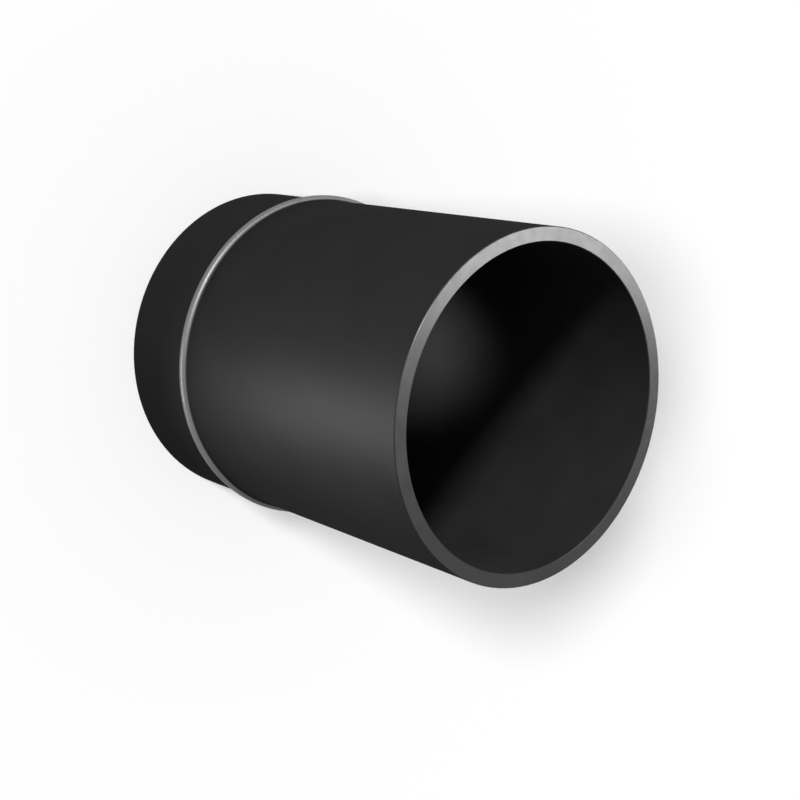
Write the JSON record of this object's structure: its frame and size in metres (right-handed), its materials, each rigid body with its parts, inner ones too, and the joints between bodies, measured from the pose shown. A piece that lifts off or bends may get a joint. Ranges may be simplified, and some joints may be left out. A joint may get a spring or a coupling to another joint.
{
  "type": "duct extension sleeve",
  "caption": "Straight round thick-walled tube, open at both ends, with a raised stop bead near one end: its short spigot goes into a duct up to the bead and the body extends the duct.",
  "frame": {"origin": "centre of the spigot's end face, on the tube's axis; the sleeve stands on this face", "axes": "+Z along the tube's axis, from the spigot towards the mouth; X and Y lie across the tube, which is round, so either may point any way"},
  "size_m": [0.1288, 0.1288, 0.164],
  "materials": {
    "moulded_plastic": "black, satin, with a slightly brighter sheen on the bead and the cut rims"
  },
  "bodies": {
    "root": {"sleeve": "moulded_plastic"}
  },
  "joints": []
}
